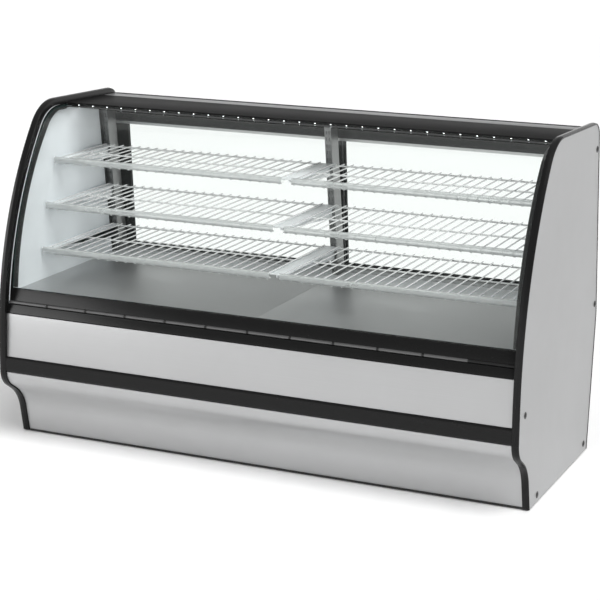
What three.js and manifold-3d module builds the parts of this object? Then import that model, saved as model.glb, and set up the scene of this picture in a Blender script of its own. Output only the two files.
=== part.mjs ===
// Glass display showcase: two shaped end panels, tilting curved front glass, three tiers of wire
// shelves, sliding rear doors. Millimetres, +X along the case, -Y is the front, +Z up.
import * as THREE from 'three';
import { mergeVertices } from 'three/addons/utils/BufferGeometryUtils.js';
import Module from 'manifold-3d';

const wasm = await Module();
wasm.setup();

// overall
const LENGTH = 1963, DEPTH = 896, HEIGHT = 1219;
const GAP = 0.3, SHEET = 2;
const FLOOR_GAP = 5;
// end panels and their edge trim
const PANEL_T = 22, SKIN = 1.5, TRIM_W = 25, TRIM_T = 3, LIP_OUT = 7, LIP_IN = 26.5, LIP_T = 1.2;
const FRONT_Y = -DEPTH / 2, REAR_Y = DEPTH / 2, REAR_FOOT_Y = 391, REAR_BEND_Z = 500, REAR_TOP = 1208;
// how far the rear leans towards the front for each millimetre of height above the bend
const REAR_LEAN = 0.087;
const FACE_Z0 = 273, FACE_Z1 = 380;
const BOW_R = 1300, SHOULDER_R = 170, CORNER_R = 60;
const CHIN_R = 82, HOLLOW_R = 140, CHIN_ANGLE = 56, KICK_ANGLE = 12, CHIN_RUN = 35;
// inner width between the trims
const OUTER_X = LENGTH / 2, INNER_X = OUTER_X - TRIM_W;
const SPAN_X = INNER_X - GAP;
const LINER_T = 3, LINER_INSET = 27, LINED_X = SPAN_X - LINER_T - GAP;
// curved glass
const GLASS_R = 1014.4, GLASS_CY = 617, GLASS_CZ = 489.3, GLASS_TOP = 1189, GLASS_SHOULDER = 140;
const GLASS_T = 6, GLASS_Z0 = 551, GLASS_END_Y = 4, ROOF_Y = 6;
// hinge of the front glass
const HINGE_Y = -414, HINGE_Z = 524, PIN_R = 5.5;
// deck, posts, shelves
const DECK_Z = 560, POST_FOOT_Y = 339, POST_LEAN = 0.15, POST_DEPTH = 63, POST_W = 26, POST_TOP = 1167;
const TIERS = [{ z: 1001, y: -105 }, { z: 842, y: -170 }, { z: 679, y: -200 }];
const SHELF_END = 945, SHELF_MID = 18.5, WIRE = 5, SLOTS = 24;
// rear doors
const TRACK_Y = 410, GROOVE = 16, RIB = 2, TRACK_Z = 557, HEADER_Z = 1103.5, APRON_Z = 1069;
const DOOR_T = 15, DOOR_Z0 = 561, DOOR_Z1 = 1097, DOOR_END = 952, DOOR_LAP = 12;
const RAIL = 28, OUTER_STILE = 56;
// roof, which falls a little towards the rear
const ROOF_Z = 1194.5, ROOF_FALL = 0.029, ROOF_SEAM_Y = 285, EAVE_Z = 1183;

const rad = (deg) => deg * Math.PI / 180;

// ---- solids ----
function toManifold(geometry) {
  const g = geometry.clone();
  g.deleteAttribute('normal');
  g.deleteAttribute('uv');
  const m = mergeVertices(g, 1e-4);
  return new wasm.Manifold(new wasm.Mesh({
    numProp: 3,
    vertProperties: new Float32Array(m.attributes.position.array),
    triVerts: new Uint32Array(m.index.array),
  }));
}

function toGeometry(manifold) {
  const mesh = manifold.getMesh();
  const g = new THREE.BufferGeometry();
  g.setAttribute('position', new THREE.BufferAttribute(new Float32Array(mesh.vertProperties), 3));
  g.setIndex(new THREE.BufferAttribute(new Uint32Array(mesh.triVerts), 1));
  return g;
}

function join(...parts) {
  return toGeometry(parts.map(toManifold).reduce((a, b) => a.add(b)));
}

function cut(body, ...tools) {
  return toGeometry(tools.map(toManifold).reduce((a, b) => a.subtract(b), toManifold(body)));
}

function box(x0, x1, y0, y1, z0, z1) {
  const g = new THREE.BoxGeometry(x1 - x0, y1 - y0, z1 - z0);
  return g.translate((x0 + x1) / 2, (y0 + y1) / 2, (z0 + z1) / 2);
}

// a [y, z] outline pushed along X
function prismX(points, x0, x1) {
  const shape = new THREE.Shape(points.map(([y, z]) => new THREE.Vector2(y, z)));
  const g = new THREE.ExtrudeGeometry(shape, { depth: x1 - x0, bevelEnabled: false });
  const turn = new THREE.Matrix4().set(0, 0, 1, x0, 1, 0, 0, 0, 0, 1, 0, 0, 0, 0, 0, 1);
  return g.applyMatrix4(turn);
}

// an [x, y] outline pushed along Z
function prismZ(points, z0, z1) {
  const shape = new THREE.Shape(points.map(([x, y]) => new THREE.Vector2(x, y)));
  const g = new THREE.ExtrudeGeometry(shape, { depth: z1 - z0, bevelEnabled: false });
  return g.translate(0, 0, z0);
}

function rod(x, y, r, z0, z1, sides = 16) {
  const g = new THREE.CylinderGeometry(r, r, z1 - z0, sides);
  return g.rotateX(Math.PI / 2).translate(x, y, (z0 + z1) / 2);
}

function pipeX(y, z, r, x0, x1, sides = 14) {
  const g = new THREE.CylinderGeometry(r, r, x1 - x0, sides);
  return g.rotateZ(Math.PI / 2).translate((x0 + x1) / 2, y, z);
}

// ---- paths in the side view: points with their outward normals ----
function arc(cy, cz, r, from, to, steps, outward = 1) {
  const list = [];
  for (let i = 0; i <= steps; i++) {
    const a = rad(from + (to - from) * i / steps);
    const ny = Math.cos(a), nz = Math.sin(a);
    list.push({ y: cy + r * ny, z: cz + r * nz, ny: ny * outward, nz: nz * outward });
  }
  return list;
}

function tangentFillet(cy, cz, bigR, r, topZ) {
  const z = topZ - r;
  const y = cy - Math.sqrt((bigR - r) ** 2 - (z - cz) ** 2);
  return { y, z, angle: 180 - Math.atan2(z - cz, cy - y) * 180 / Math.PI };
}

function sidePath(inset) {
  const bow = { y: FRONT_Y + BOW_R, z: FACE_Z1 };
  const shoulder = tangentFillet(bow.y, bow.z, BOW_R, SHOULDER_R, HEIGHT);
  const chin = { y: FRONT_Y + CHIN_R, z: FACE_Z0 };
  const c = Math.cos(rad(CHIN_ANGLE)), s = Math.sin(rad(CHIN_ANGLE));
  const low = { y: chin.y - CHIN_R * c + CHIN_RUN * s, z: chin.z - CHIN_R * s - CHIN_RUN * c };
  const hollow = { y: low.y - HOLLOW_R * c, z: low.z - HOLLOW_R * s };
  const kick = rad(KICK_ANGLE), rearTurn = Math.atan(REAR_LEAN), level = REAR_TOP - CORNER_R - REAR_BEND_Z;
  const cornerY = REAR_Y - CORNER_R / Math.cos(rearTurn) - level * REAR_LEAN;
  const list = [
    ...arc(hollow.y, hollow.z, HOLLOW_R, KICK_ANGLE, CHIN_ANGLE, 8, -1),
    ...arc(chin.y, chin.z, CHIN_R, 180 + CHIN_ANGLE, 180, 8),
    ...arc(bow.y, bow.z, BOW_R, 180, shoulder.angle, 16),
    ...arc(shoulder.y, shoulder.z, SHOULDER_R, shoulder.angle, 90, 8).slice(1),
    ...arc(cornerY, REAR_TOP - CORNER_R, CORNER_R, 90, rearTurn * 180 / Math.PI, 6),
  ].map((p) => ({ ...p, y: p.y - p.ny * inset, z: p.z - p.nz * inset }));
  const toe = list[0];
  const drop = (toe.z - FLOOR_GAP) * Math.tan(kick);
  list.unshift({ ...toe, y: toe.y + drop, z: FLOOR_GAP });
  const lean = Math.atan2(REAR_Y - REAR_FOOT_Y, REAR_BEND_Z - FLOOR_GAP);
  const normal = { ny: Math.cos(lean), nz: -Math.sin(lean) };
  list.push({ y: REAR_Y - inset / Math.cos(rearTurn), z: REAR_BEND_Z, ny: 1, nz: 0 });
  list.push({ y: REAR_FOOT_Y - inset / Math.cos(lean), z: FLOOR_GAP, ...normal });
  return list;
}

function glassPath(inset) {
  const f = tangentFillet(GLASS_CY, GLASS_CZ, GLASS_R, GLASS_SHOULDER, GLASS_TOP);
  const start = 180 - Math.asin((GLASS_Z0 - GLASS_CZ) / GLASS_R) * 180 / Math.PI;
  return [
    ...arc(GLASS_CY, GLASS_CZ, GLASS_R, start, f.angle, 18),
    ...arc(f.y, f.z, GLASS_SHOULDER, f.angle, 90, 10).slice(1),
    { y: GLASS_END_Y, z: GLASS_TOP, ny: 0, nz: 1 },
  ].map((p) => ({ ...p, y: p.y - p.ny * inset, z: p.z - p.nz * inset }));
}

// what stands on the leaning rear is drawn upright, then leant forward about the bend
const leanAt = (z) => (z - REAR_BEND_Z) * REAR_LEAN;
const leant = (points) => points.map(([y, z]) => [y - leanAt(z), z]);
const postFront = (z) => POST_FOOT_Y - (z - DECK_Z) * POST_LEAN;
const roofAt = (y) => ROOF_Z - (y - ROOF_Y) * ROOF_FALL;

function leanSolid(geometry) {
  const at = geometry.attributes.position;
  for (let i = 0; i < at.count; i++) at.setY(i, at.getY(i) - leanAt(at.getZ(i)));
  return geometry;
}

const yz = (path) => path.map((p) => [p.y, p.z]);

// the band between two insets of one path, as a closed outline
const band = (path, a, b) => [...yz(path(a)), ...yz(path(b)).reverse()];

function bandX(path, a, b, x0, x1) {
  return prismX(band(path, a, b), x0, x1);
}

// ---- materials and the list of parts ----
const material = (color, metalness, roughness, opacity = 1) => new THREE.MeshStandardMaterial({
  color, metalness, roughness, opacity, transparent: opacity < 1,
});
const stainless = material(0xb9bbbc, 0.9, 0.32);
const blackPaint = material(0x111213, 0.1, 0.3);
const rubber = material(0x151515, 0, 0.7);
const whitePaint = material(0xe6ecef, 0.1, 0.35);
const aluminium = material(0xc9ccce, 0.85, 0.35);
const zinc = material(0xd5d8da, 0.8, 0.3);
const glass = material(0xdcebe8, 0, 0.05, 0.2);
const clearPlastic = material(0xf0f4f6, 0, 0.15, 0.45);
const diffuser = material(0xfdfdf6, 0, 0.4);

const group = new THREE.Group();
group.name = 'glass_display_showcase';

function add(name, geometry, mat) {
  const flat = geometry.index ? geometry.toNonIndexed() : geometry;
  flat.deleteAttribute('normal');
  flat.computeVertexNormals();
  const mesh = new THREE.Mesh(flat, mat);
  mesh.name = name;
  group.add(mesh);
}

const sides = [{ name: 'left', s: -1 }, { name: 'right', s: 1 }];
const ordered = (a, b) => [Math.min(a, b), Math.max(a, b)];

// ---- end panels ----
function endTrim(s) {
  const [x0, x1] = ordered(s * INNER_X, s * OUTER_X);
  const inner = ordered(s * INNER_X, s * (INNER_X + LIP_T));
  const outer = ordered(s * OUTER_X, s * (OUTER_X - LIP_T));
  return join(
    bandX(sidePath, 0, TRIM_T, x0, x1),
    bandX(sidePath, 0.2, LIP_IN, ...inner),
    bandX(sidePath, 0.2, LIP_OUT, ...outer),
  );
}

function endPanel(s) {
  const near = INNER_X + LIP_T + GAP, far = near + PANEL_T;
  return cut(
    prismX(yz(sidePath(TRIM_T + GAP)), ...ordered(s * near, s * far)),
    prismX(yz(sidePath(TRIM_T + GAP + SHEET)), ...ordered(s * (near - 5), s * (far - SKIN))),
  );
}

for (const { name, s } of sides) {
  add(`${name}_end_panel`, endPanel(s), stainless);
  add(`${name}_end_trim`, endTrim(s), blackPaint);
  const liner = ordered(s * SPAN_X, s * (SPAN_X - LINER_T));
  add(`${name}_end_liner`, prismX(yz(sidePath(LINER_INSET)), ...liner), whitePaint);
}

// a piece that runs from end to end and stops against whatever lines each end panel
function spanPrism(points) {
  const rooms = sides.map(({ s }) => prismX(yz(sidePath(LINER_INSET - GAP)),
    ...ordered(s * LINED_X, s * OUTER_X)));
  return cut(prismX(points, -SPAN_X, SPAN_X), ...rooms);
}

// ---- base ----
const FEET = [[-850, -230], [850, -230], [-850, 320], [850, 320]];
const FOOT_R = 24, STEM_R = 6, BASE_Z = 40;

add('base_floor', cut(
  spanPrism([[-286, 16], [-286, BASE_Z + 3], [382, BASE_Z + 3], [382, 16],
    [379, 16], [379, BASE_Z], [-283, BASE_Z], [-283, 16]]),
  ...FEET.map(([x, y]) => rod(x, y, STEM_R + 0.6, BASE_Z - 5, BASE_Z + 8)),
), zinc);

FEET.forEach(([x, y], i) => {
  const profile = [[0, 0], [FOOT_R, 0], [FOOT_R, 5], [FOOT_R - 4, 9], [10, 11], [10, 17],
    [STEM_R, 17], [STEM_R, 70], [0, 70]].map(([r, z]) => new THREE.Vector2(r, z));
  const g = new THREE.LatheGeometry(profile, 20).rotateX(Math.PI / 2).translate(x, y, 0);
  add(`foot_${i + 1}`, toGeometry(toManifold(g)), rubber);
});

const insetStart = (inset, z0) => sidePath(inset).filter((p) => p.z >= z0 && p.y < 0);
function kickOutline() {
  const top = FACE_Z0 - 7, foot = 9.5;
  const outer = insetStart(8, foot).filter((p) => p.z <= top);
  const inner = insetStart(8 + SHEET, foot).filter((p) => p.z <= top);
  const low = { y: outer[0].y + (outer[0].z - foot) * Math.tan(rad(KICK_ANGLE)), z: foot };
  const up = FRONT_Y + 8;
  return [[low.y, low.z], ...yz(outer), [up, top], [up + SHEET, top], ...yz(inner).reverse(),
    [low.y + SHEET, low.z]];
}
add('kick_panel', spanPrism(kickOutline()), stainless);
add('kick_strip', spanPrism([[-299, 3], [-299.8, 8.9], [-290, 8.9], [-290, 3]]), rubber);
add('bumper_rail', spanPrism([[-430, 267], [-441, 267], [-444, 272], [-445.5, 295], [-444, 319],
  [-441, 324], [-430, 324]]), rubber);
add('front_panel', spanPrism([[-437, 325], [-430, 484.5], [-404, 484.5], [-404, 482.5],
  [-428.1, 482.5], [-434.9, 327], [-404, 327], [-404, 325]]), stainless);
add('sill_rail', spanPrism([[-431, 487], [-419.5, 517.5], [-382, 517.5], [-382, 487],
  [-385, 487], [-385, 514.5], [-417.4, 514.5], [-427.8, 487]]), blackPaint);

const PLATE = { z0: 515, z1: 541, x: -880, w: 29 };
add('rear_panel', cut(
  spanPrism([...leant([[REAR_Y - 2, 556], [REAR_Y - 2, REAR_BEND_Z]]), [REAR_FOOT_Y - 1, 12],
    [REAR_FOOT_Y - 8, 12], [REAR_FOOT_Y - 8, 14], [REAR_FOOT_Y - 3, 14],
    ...leant([[REAR_Y - 4, REAR_BEND_Z + 0.2], [REAR_Y - 4, 554], [REAR_Y - 26, 554], [REAR_Y - 26, 556]])]),
  box(PLATE.x - PLATE.w / 2, PLATE.x + PLATE.w / 2, REAR_Y - 14, REAR_Y + 5, PLATE.z0, PLATE.z1),
), stainless);
add('switch_rocker', prismX(leant([[REAR_Y - 12.5, PLATE.z0 + 1.6], [REAR_Y - 12.5, PLATE.z1 - 1.6],
  [REAR_Y, PLATE.z1 - 1.6], [REAR_Y - 1.5, (PLATE.z0 + PLATE.z1) / 2], [REAR_Y, PLATE.z0 + 1.6]]),
PLATE.x - PLATE.w / 2 + 0.8, PLATE.x + PLATE.w / 2 - 0.8), rubber);

// ---- deck ----
const LEDGE_Y = TRACK_Y - 6;
add('deck_floor', spanPrism([[-378, 520], [-378, 543], [-376, 543], [-376, 522], [260, 522],
  [260, DECK_Z], [LEDGE_Y, DECK_Z], [LEDGE_Y, 520], [LEDGE_Y - 2, 520], [LEDGE_Y - 2, DECK_Z - 2],
  [262, DECK_Z - 2], [262, 520]]), whitePaint);

for (const { name, s } of sides) {
  const [x0, x1] = ordered(s * 0.4, s * LINED_X);
  const under = 522 + GAP;
  add(`${name}_deck_pan`, cut(
    box(x0, x1, -375.5, 259.5, under, DECK_Z - 1),
    box(x0 + 1.5, x1 - 1.5, -374, 258, under - 1, DECK_Z - 3),
  ), whitePaint);
}

// ---- posts, brackets, shelves ----
const posts = [
  { name: 'left', x: POST_W / 2 - LINED_X },
  { name: 'centre', x: 0 },
  { name: 'right', x: LINED_X - POST_W / 2 },
];
for (const { name, x } of posts) {
  const h = POST_W / 2, y1 = POST_DEPTH;
  const upright = prismZ([[x - h, 0], [x + h, 0], [x + h, y1], [x + h - 3, y1],
    [x + h - 3, 3], [x - h + 3, 3], [x - h + 3, y1], [x - h, y1]], DECK_Z + GAP, POST_TOP);
  const at = upright.attributes.position;
  for (let i = 0; i < at.count; i++) at.setY(i, at.getY(i) + postFront(at.getZ(i)));
  add(`${name}_post`, upright, aluminium);
}

function bracket(tier, x, flangeX0, flangeX1) {
  const top = tier.z - WIRE - GAP, y0 = tier.y + 22, y1 = postFront(top) - GAP;
  return join(
    prismX([[y1, top], [y0, top], [y0, top - 10], [postFront(top - 52) - GAP, top - 52]], x - 2, x + 2),
    box(flangeX0, flangeX1, y0 + 1, y1 - 1, top - 2.2, top - 0.01),
  );
}

function shelf(tier, x0, x1) {
  const y0 = tier.y + 2, y1 = postFront(tier.z) - 4, rim = 6;
  const pitch = (x1 - x0 - 2 * rim + WIRE) / SLOTS;
  const slots = Array.from({ length: SLOTS }, (_, i) => {
    const a = x0 + rim + pitch * i;
    return box(a, a + pitch - WIRE, y0 + rim, y1 - rim, tier.z - WIRE - 1, tier.z + 1);
  });
  const grille = cut(box(x0, x1, y0, y1, tier.z - WIRE, tier.z), ...slots);
  return join(grille, box(x0, x1, y0, y0 + 4, tier.z - 16, tier.z - 1));
}

function ticketStrip(tier, x0, x1) {
  const y = tier.y, z = tier.z;
  return prismX([[y - 2, z - 19], [y - 2, z + 6], [y + 8, z + 6], [y + 8, z + 4.2], [y, z + 4.2],
    [y, z - 17.2], [y + 6, z - 17.2], [y + 6, z - 19]], x0, x1);
}

TIERS.forEach((tier, i) => {
  const n = i + 1, inner = LINED_X;
  add(`left_bracket_${n}`, bracket(tier, posts[0].x, -inner, -inner + 32), whitePaint);
  add(`centre_bracket_${n}`, bracket(tier, 0, -32, 32), whitePaint);
  add(`right_bracket_${n}`, bracket(tier, posts[2].x, inner - 32, inner), whitePaint);
  for (const { name, s } of sides) {
    const span = ordered(s * SHELF_MID, s * SHELF_END);
    add(`${name}_shelf_${n}`, shelf(tier, ...span), zinc);
    add(`${name}_ticket_strip_${n}`, ticketStrip(tier, span[0] + 1, span[1] - 1), clearPlastic);
  }
});

// ---- roof and light ----
const SEAM_Z = roofAt(ROOF_SEAM_Y), STRIP_Y = ROOF_SEAM_Y + 0.4, STRIP_END = 366;
add('top_panel', spanPrism([[ROOF_Y, EAVE_Z], [ROOF_Y, ROOF_Z], [ROOF_SEAM_Y, SEAM_Z],
  [ROOF_SEAM_Y, 1168], [ROOF_SEAM_Y - SHEET, 1168], [ROOF_SEAM_Y - SHEET, SEAM_Z - SHEET],
  [ROOF_Y + SHEET, ROOF_Z - SHEET], [ROOF_Y + SHEET, EAVE_Z]]), blackPaint);
add('top_rear_strip', spanPrism([[STRIP_Y, SEAM_Z - SHEET], [STRIP_Y, SEAM_Z],
  [STRIP_END, roofAt(STRIP_END)], [380, 1178.5], [388, 1163], [389.7, 1143], [387.7, 1143],
  [386.1, 1162.6], [378.6, 1176.9], [STRIP_END - 0.4, roofAt(STRIP_END) - SHEET]]), stainless);
add('rear_header', spanPrism(leant([[TRACK_Y - 2.6, APRON_Z], [TRACK_Y - 2.6, 1181.5],
  [TRACK_Y - 0.6, 1181.5], [TRACK_Y - 0.6, HEADER_Z + 2], [REAR_Y - 8.5, HEADER_Z + 2],
  [REAR_Y - 8.5, 1158], [REAR_Y - 6.5, 1158], [REAR_Y - 6.5, HEADER_Z], [TRACK_Y - 0.6, HEADER_Z],
  [TRACK_Y - 0.6, APRON_Z]])), blackPaint);
const LAMP = { y0: 8.6, y1: 30, z0: 1180.3, z1: 1191, wall: 1.5, lens: 2, x: 933 };
add('led_bar', prismX([[LAMP.y0, LAMP.z0], [LAMP.y0, LAMP.z1], [LAMP.y1, LAMP.z1], [LAMP.y1, LAMP.z0],
  [LAMP.y1 - LAMP.wall, LAMP.z0], [LAMP.y1 - LAMP.wall, LAMP.z1 - LAMP.wall],
  [LAMP.y0 + LAMP.wall, LAMP.z1 - LAMP.wall], [LAMP.y0 + LAMP.wall, LAMP.z0]], -LAMP.x, LAMP.x), blackPaint);
const lensTop = LAMP.z0 - GAP, lensLow = lensTop - LAMP.lens;
add('led_lens', prismX([[LAMP.y0, lensTop], [LAMP.y1, lensTop], [LAMP.y1 - 1, lensLow],
  [LAMP.y0 + 1, lensLow]], -LAMP.x + 2, LAMP.x - 2), diffuser);

// ---- rear door tracks and doors ----
function track(zBase, zRib, dir) {
  const y = TRACK_Y, floor = zBase + dir * 3;
  const g0 = y + RIB, g1 = g0 + GROOVE, g2 = g1 + RIB, g3 = g2 + GROOVE, g4 = g3 + RIB;
  const points = [[y, zBase], [y, zRib], [g0, zRib], [g0, floor], [g1, floor], [g1, zRib],
    [g2, zRib], [g2, floor], [g3, floor], [g3, zRib], [g4, zRib], [g4, zBase]];
  return spanPrism(leant(points));
}
add('lower_track', track(TRACK_Z, 572, 1), aluminium);
add('upper_track', track(HEADER_Z - GAP, HEADER_Z - 17.5, -1), aluminium);

function door(x0, x1, y, stile0, stile1) {
  const grooveX = 9, paneT = 5, mid = y + DOOR_T / 2;
  const shape = [x0 + stile0, x1 - stile1, DOOR_Z0 + RAIL, DOOR_Z1 - RAIL];
  const pane = box(shape[0] - grooveX, shape[1] + grooveX, mid - paneT / 2, mid + paneT / 2,
    shape[2] - grooveX, shape[3] + grooveX);
  const room = box(shape[0] - grooveX - GAP, shape[1] + grooveX + GAP, mid - paneT / 2 - GAP,
    mid + paneT / 2 + GAP, shape[2] - grooveX - GAP, shape[3] + grooveX + GAP);
  const frame = cut(
    box(x0, x1, y, y + DOOR_T, DOOR_Z0, DOOR_Z1),
    box(shape[0], shape[1], y - 1, y + DOOR_T + 1, shape[2], shape[3]),
    room,
  );
  return { frame: leanSolid(frame), pane: leanSolid(pane) };
}
const leftDoor = door(-DOOR_END, DOOR_LAP, TRACK_Y + RIB + (GROOVE - DOOR_T) / 2, OUTER_STILE, RAIL);
const rightDoor = door(-DOOR_LAP, DOOR_END, TRACK_Y + 2 * RIB + GROOVE + (GROOVE - DOOR_T) / 2,
  RAIL, OUTER_STILE);
add('left_door_frame', leftDoor.frame, blackPaint);
add('left_door_glass', leftDoor.pane, glass);
add('right_door_frame', rightDoor.frame, blackPaint);
add('right_door_glass', rightDoor.pane, glass);

// ---- tilting front glass ----
const paneX = LINED_X - 1.2;
add('hinge_pin', pipeX(HINGE_Y, HINGE_Z, PIN_R, -paneX, paneX), aluminium);
add('glass_rail', prismX([[-414.5, 530], [-399, 571], [-394.6, 571], [-396, 550.6], [-388.8, 550.6],
  [-387.4, 571], [-382, 571], [-382, 530]], -paneX, paneX), blackPaint);

add('curved_glass', bandX(glassPath, 0, GLASS_T, -paneX, paneX), glass);

function gasket() {
  const near = GLASS_T + GAP, far = near + 3, w = 16;
  const side = (s) => {
    const path = (inset) => glassPath(inset).filter((p) => p.z > DECK_Z + 14);
    return bandX(path, near, far, ...ordered(s * (paneX - 2), s * (paneX - 2 - w)));
  };
  const top = box(-paneX + 6, paneX - 6, -9, 3.5, GLASS_TOP - far + 0.4, GLASS_TOP - near - 0.4);
  return join(side(-1), side(1), top);
}
add('glass_gasket', gasket(), rubber);

export default group;
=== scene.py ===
import math

import bmesh
import bpy
from mathutils import Matrix, Vector


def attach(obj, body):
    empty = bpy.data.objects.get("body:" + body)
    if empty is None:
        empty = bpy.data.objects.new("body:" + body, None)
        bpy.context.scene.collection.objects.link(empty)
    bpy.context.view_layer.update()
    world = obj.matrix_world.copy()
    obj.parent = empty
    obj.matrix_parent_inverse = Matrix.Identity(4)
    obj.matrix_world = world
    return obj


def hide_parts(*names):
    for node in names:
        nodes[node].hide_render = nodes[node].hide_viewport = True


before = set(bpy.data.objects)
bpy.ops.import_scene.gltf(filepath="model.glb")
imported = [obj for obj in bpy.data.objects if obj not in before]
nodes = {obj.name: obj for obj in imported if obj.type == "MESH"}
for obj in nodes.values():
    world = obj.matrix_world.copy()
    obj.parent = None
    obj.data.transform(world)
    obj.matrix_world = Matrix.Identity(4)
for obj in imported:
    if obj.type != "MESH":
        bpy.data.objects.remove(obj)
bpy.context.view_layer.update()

print("frame loaded:", len(nodes), "nodes")


# graph helpers
class Value:
    def __init__(self, graph, socket):
        self.graph, self.socket = graph, socket

    def out(self, name):
        return Value(self.graph, self.socket.node.outputs[name])

    def math(self, operation, a, b=0.0):
        return self.graph.add("ShaderNodeMath", {"operation": operation}, {0: a, 1: b})

    def __add__(self, other): return self.math("ADD", self, other)
    def __radd__(self, other): return self.math("ADD", other, self)
    def __mul__(self, other): return self.math("MULTIPLY", self, other)
    def __rmul__(self, other): return self.math("MULTIPLY", other, self)


class Graph:
    def __init__(self, tree):
        self.tree = tree

    def add(self, kind, settings=None, values=None, out=0):
        node = self.tree.nodes.new(kind)
        for name, setting in (settings or {}).items():
            if name == "stops":
                for stop, (at, shade) in zip(rampStops(node, len(setting)), setting):
                    stop.position, stop.color = at, shade
            else:
                setattr(node, name, setting)
        for name, value in (values or {}).items():
            self.feed(node.inputs[name], value)
        return Value(self, node.outputs[out]) if len(node.outputs) else node

    def feed(self, socket, value):
        if isinstance(value, Value):
            self.tree.links.new(value.socket, socket)
        else:
            socket.default_value = value


def rampStops(node, count):
    while len(node.color_ramp.elements) < count:
        node.color_ramp.elements.new(1.0)
    return node.color_ramp.elements


# finishes
def newFinish(name, constants):
    material = bpy.data.materials.new(name)
    material.use_nodes = True
    shader = material.node_tree.nodes["Principled BSDF"]
    for socket, value in constants.items():
        shader.inputs[socket].default_value = value
    return material, Graph(material.node_tree), shader


def grainPoint(graph, scale=(1, 1, 1), offset=(0, 0, 0)):
    here = graph.add("ShaderNodeTexCoord", out="Object")
    return graph.add("ShaderNodeMapping", values={"Vector": here, "Scale": scale, "Location": offset})


def cloud(graph, point, scale, detail=3.0, roughness=0.5):
    return graph.add("ShaderNodeTexNoise", values={
        "Vector": point, "Scale": scale, "Detail": detail, "Roughness": roughness})


def tint(graph, amount, first, second):
    return graph.add("ShaderNodeMix", {"data_type": "RGBA"}, {0: amount, 6: first, 7: second}, out=2)


def baseTint(graph, shader, amount, first, second):
    graph.feed(shader.inputs["Base Color"], tint(graph, amount, first, second))


def relief(graph, shader, height, distance, strength=1.0):
    bump = graph.add("ShaderNodeBump", values={"Height": height, "Distance": distance, "Strength": strength})
    graph.feed(shader.inputs["Normal"], bump)


def grey(level, cool=0.0):
    return (level * (1 - cool), level, level * (1 + cool), 1.0)


def brushedSteel(name, grain, level=0.5, rough=0.27):
    material, graph, shader = newFinish(name, {"Metallic": 0.92, "Anisotropic": 0.35})
    lines = cloud(graph, grainPoint(graph, grain), 1.0, 4.0, 0.62)
    rolls = cloud(graph, grainPoint(graph, (1.1, 1.1, 1.1)), 1.6, 3.0)
    touch = cloud(graph, grainPoint(graph, offset=(3.1, 0.4, 1.7)), 9.0, 5.0, 0.6)
    shade = lines * 0.6 + rolls * 0.4
    baseTint(graph, shader, shade, grey(level * 0.86), grey(level * 1.12, 0.01))
    graph.feed(shader.inputs["Roughness"], rough + lines * 0.14 + touch * 0.08)
    relief(graph, shader, lines, 0.00006, 0.5)
    return material


def powderCoat(name, level, rough, coolness=0.0, shine=0.5, bend=1.5):
    material, graph, shader = newFinish(name, {"IOR": bend, "Specular IOR Level": shine})
    peel = cloud(graph, grainPoint(graph), 620.0, 2.0)
    touch = cloud(graph, grainPoint(graph, offset=(0.7, 2.2, 0.1)), 7.0, 5.0, 0.6)
    baseTint(graph, shader, touch, grey(level * 0.9, coolness), grey(level * 1.12, coolness))
    graph.feed(shader.inputs["Roughness"], rough + touch * 0.10)
    relief(graph, shader, peel, 0.00004, 0.4)
    return material


def rubberCompound(name, level=0.016):
    material, graph, shader = newFinish(name, {"IOR": 1.48})
    pores = cloud(graph, grainPoint(graph), 900.0, 3.0)
    bloom = cloud(graph, grainPoint(graph), 12.0, 4.0)
    baseTint(graph, shader, bloom, grey(level * 0.8), grey(level * 1.5))
    graph.feed(shader.inputs["Roughness"], 0.38 + bloom * 0.2)
    relief(graph, shader, pores, 0.00005, 0.5)
    return material


def drawnAluminium(name, level=0.62, rough=0.28):
    material, graph, shader = newFinish(name, {"Metallic": 0.9})
    lines = cloud(graph, grainPoint(graph, (3, 1500, 1500)), 1.0, 3.0)
    cast = cloud(graph, grainPoint(graph), 5.0, 3.0)
    baseTint(graph, shader, lines * 0.5 + cast * 0.5, grey(level * 0.88), grey(level * 1.1))
    graph.feed(shader.inputs["Roughness"], rough + lines * 0.12)
    relief(graph, shader, lines, 0.00003, 0.4)
    return material


def galvanisedSheet(name):
    material, graph, shader = newFinish(name, {"Metallic": 0.85})
    flakes = graph.add("ShaderNodeTexVoronoi", values={"Vector": grainPoint(graph), "Scale": 55.0},
                       out="Color")
    flake = graph.add("ShaderNodeSeparateColor", values={"Color": flakes})
    baseTint(graph, shader, flake, grey(0.33), grey(0.52, 0.02))
    graph.feed(shader.inputs["Roughness"], 0.34 + flake * 0.18)
    return material


def platedWire(name):
    material, graph, shader = newFinish(name, {"Metallic": 0.5})
    pits = cloud(graph, grainPoint(graph), 160.0, 3.0)
    baseTint(graph, shader, pits, grey(0.84), grey(0.95, 0.005))
    graph.feed(shader.inputs["Roughness"], 0.16 + pits * 0.16)
    relief(graph, shader, pits, 0.00003, 0.4)
    return material


def clearSheet(name, body, haze, reflect=0.9, frost=0.015):
    # light goes straight through; the surface mirrors more at a shallow angle
    material, graph, shader = newFinish(name, {"Base Color": body, "Roughness": 0.12, "IOR": 1.49})
    smear = cloud(graph, grainPoint(graph), 4.5, 5.0, 0.6)
    through = graph.add("ShaderNodeBsdfTransparent", values={"Color": (0.985, 0.995, 0.99, 1)})
    mirror = graph.add("ShaderNodeBsdfGlossy", values={"Roughness": frost, "Color": (1, 1, 1, 1)})
    veil = graph.add("ShaderNodeMixShader", values={0: haze + smear * (haze * 0.5), 1: through,
                                                     2: Value(graph, shader.outputs[0])})
    edge = graph.add("ShaderNodeFresnel", values={"IOR": 1.5})
    pane = graph.add("ShaderNodeMixShader", values={0: edge * reflect, 1: veil, 2: mirror})
    graph.feed(material.node_tree.nodes["Material Output"].inputs["Surface"], pane)
    return material


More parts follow.
